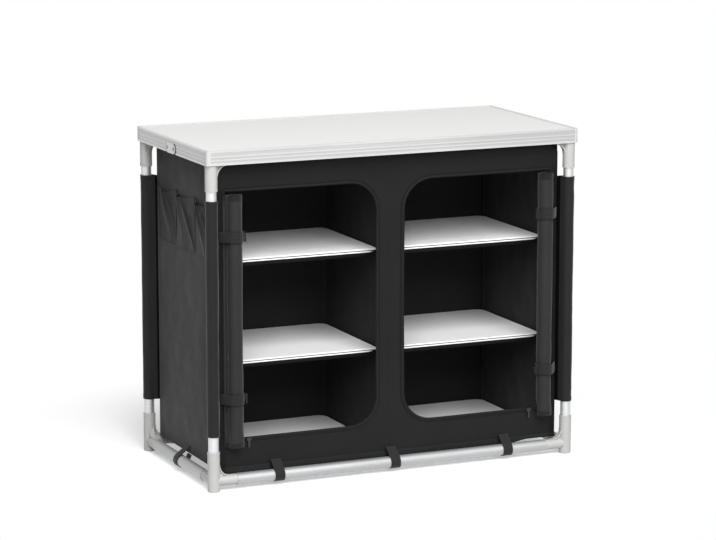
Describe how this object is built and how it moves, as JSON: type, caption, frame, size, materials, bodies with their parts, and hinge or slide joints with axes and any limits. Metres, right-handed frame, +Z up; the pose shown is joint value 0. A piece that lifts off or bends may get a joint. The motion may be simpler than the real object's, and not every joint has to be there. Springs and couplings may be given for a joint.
{
  "type": "folding camping kitchen unit",
  "caption": "Knock-down tube frame with a hung fabric cupboard, loose shelf boards, rolled-up doors, side pockets and a worktop that folds in half.",
  "frame": {"origin": "on the floor, under the middle of the worktop", "axes": "+Z up, -Y out of the open front, +X to the right of someone facing the open front"},
  "size_m": [0.9728, 0.476, 0.814],
  "materials": {
    "connector_plastic": "light warm grey, slightly satin",
    "tube_aluminium": "satin anodised",
    "edge_aluminium": "satin anodised, ribbed lengthwise",
    "worktop_laminate": "fibreboard faced with light grey laminate, satin",
    "corner_cap_plastic": "light grey, satin",
    "hinge_steel": "satin",
    "rivet_steel": "satin",
    "shelf_laminate": "fibreboard faced with white laminate, satin",
    "cloth": "coated woven polyester, matt black",
    "door_cloth": "coated woven polyester, rolled, matt black",
    "webbing": "woven webbing, black",
    "clip_plastic": "black",
    "zip_tape": "zip tape with coil, black",
    "zip_metal": "black lacquer"
  },
  "bodies": {
    "frame": {"back_panel": "cloth", "cupboard_floor": "cloth", "door_roll_left": "door_cloth", "door_roll_right": "door_cloth", "door_straps": "webbing", "front_bottom_band": "cloth", "front_middle_post": "cloth", "front_stiles": "cloth", "front_top_band": "cloth", "leg_front_left": "tube_aluminium", "leg_front_right": "tube_aluminium", "leg_rear_left": "tube_aluminium", "leg_rear_right": "tube_aluminium", "leg_sleeves": "cloth", "lower_connector_front_left": "connector_plastic", "lower_connector_front_right": "connector_plastic", "lower_connector_rear_left": "connector_plastic", "lower_connector_rear_right": "connector_plastic", "lower_rail_front": "tube_aluminium", "lower_rail_left": "tube_aluminium", "lower_rail_rear": "tube_aluminium", "lower_rail_right": "tube_aluminium", "middle_partition": "cloth", "rail_loops": "webbing", "shelf_cloths": "cloth", "side_panel_left": "cloth", "side_panel_right": "cloth", "side_pockets": "cloth", "strap_clips": "clip_plastic", "top_hem_sleeves": "cloth", "upper_connector_front_left": "connector_plastic", "upper_connector_front_right": "connector_plastic", "upper_connector_rear_left": "connector_plastic", "upper_connector_rear_right": "connector_plastic", "upper_rail_front": "tube_aluminium", "upper_rail_left": "tube_aluminium", "upper_rail_rear": "tube_aluminium", "upper_rail_right": "tube_aluminium", "zip_tapes": "zip_tape"},
    "hinge": {"hinge_links": "hinge_steel", "hinge_rivets": "rivet_steel"},
    "worktop_front": {"worktop_board_front": "worktop_laminate", "worktop_corner_caps_front": "corner_cap_plastic", "worktop_cross_bar_front": "edge_aluminium", "worktop_edge_front": "edge_aluminium", "worktop_end_edges_front": "edge_aluminium"},
    "worktop_rear": {"worktop_board_rear": "worktop_laminate", "worktop_corner_caps_rear": "corner_cap_plastic", "worktop_cross_bar_rear": "edge_aluminium", "worktop_edge_rear": "edge_aluminium", "worktop_end_edges_rear": "edge_aluminium"},
    "shelf_board_left_lower_body": {"shelf_board_left_lower": "shelf_laminate"},
    "shelf_board_left_middle_body": {"shelf_board_left_middle": "shelf_laminate"},
    "shelf_board_left_upper_body": {"shelf_board_left_upper": "shelf_laminate"},
    "shelf_board_right_lower_body": {"shelf_board_right_lower": "shelf_laminate"},
    "shelf_board_right_middle_body": {"shelf_board_right_middle": "shelf_laminate"},
    "shelf_board_right_upper_body": {"shelf_board_right_upper": "shelf_laminate"},
    "zip_slider_left_body": {"zip_slider_left": "zip_metal"},
    "zip_slider_right_body": {"zip_slider_right": "zip_metal"}
  },
  "joints": [
    {"name": "worktop_lift", "type": "slide", "parent": "frame", "child": "hinge", "axis": [0, 0, 1], "range_m": [0, 0.66]},
    {"name": "worktop_front_fold", "type": "hinge", "parent": "hinge", "child": "worktop_front", "pos_m": [0, -0.021, 0.791], "axis": [1, 0, 0], "range_deg": [0, 90]},
    {"name": "worktop_rear_fold", "type": "hinge", "parent": "hinge", "child": "worktop_rear", "pos_m": [0, 0.021, 0.791], "axis": [1, 0, 0], "range_deg": [-90, 0]},
    {"name": "shelf_board_left_lower_slide", "type": "slide", "parent": "frame", "child": "shelf_board_left_lower_body", "axis": [0, -1, 0], "range_m": [0, 0.06]},
    {"name": "shelf_board_left_middle_slide", "type": "slide", "parent": "frame", "child": "shelf_board_left_middle_body", "axis": [0, -1, 0], "range_m": [0, 0.06]},
    {"name": "shelf_board_left_upper_slide", "type": "slide", "parent": "frame", "child": "shelf_board_left_upper_body", "axis": [0, -1, 0], "range_m": [0, 0.06]},
    {"name": "shelf_board_right_lower_slide", "type": "slide", "parent": "frame", "child": "shelf_board_right_lower_body", "axis": [0, -1, 0], "range_m": [0, 0.06]},
    {"name": "shelf_board_right_middle_slide", "type": "slide", "parent": "frame", "child": "shelf_board_right_middle_body", "axis": [0, -1, 0], "range_m": [0, 0.06]},
    {"name": "shelf_board_right_upper_slide", "type": "slide", "parent": "frame", "child": "shelf_board_right_upper_body", "axis": [0, -1, 0], "range_m": [0, 0.06]},
    {"name": "zip_slider_left_run", "type": "slide", "parent": "frame", "child": "zip_slider_left_body", "axis": [1, 0, 0], "range_m": [0, 0.27]},
    {"name": "zip_slider_right_run", "type": "slide", "parent": "frame", "child": "zip_slider_right_body", "axis": [-1, 0, 0], "range_m": [0, 0.27]}
  ],
  "couplings": [
    {"joint": "worktop_front_fold", "follows": "worktop_lift", "rad_per_m": 2.3798},
    {"joint": "worktop_rear_fold", "follows": "worktop_lift", "rad_per_m": -2.3798}
  ]
}
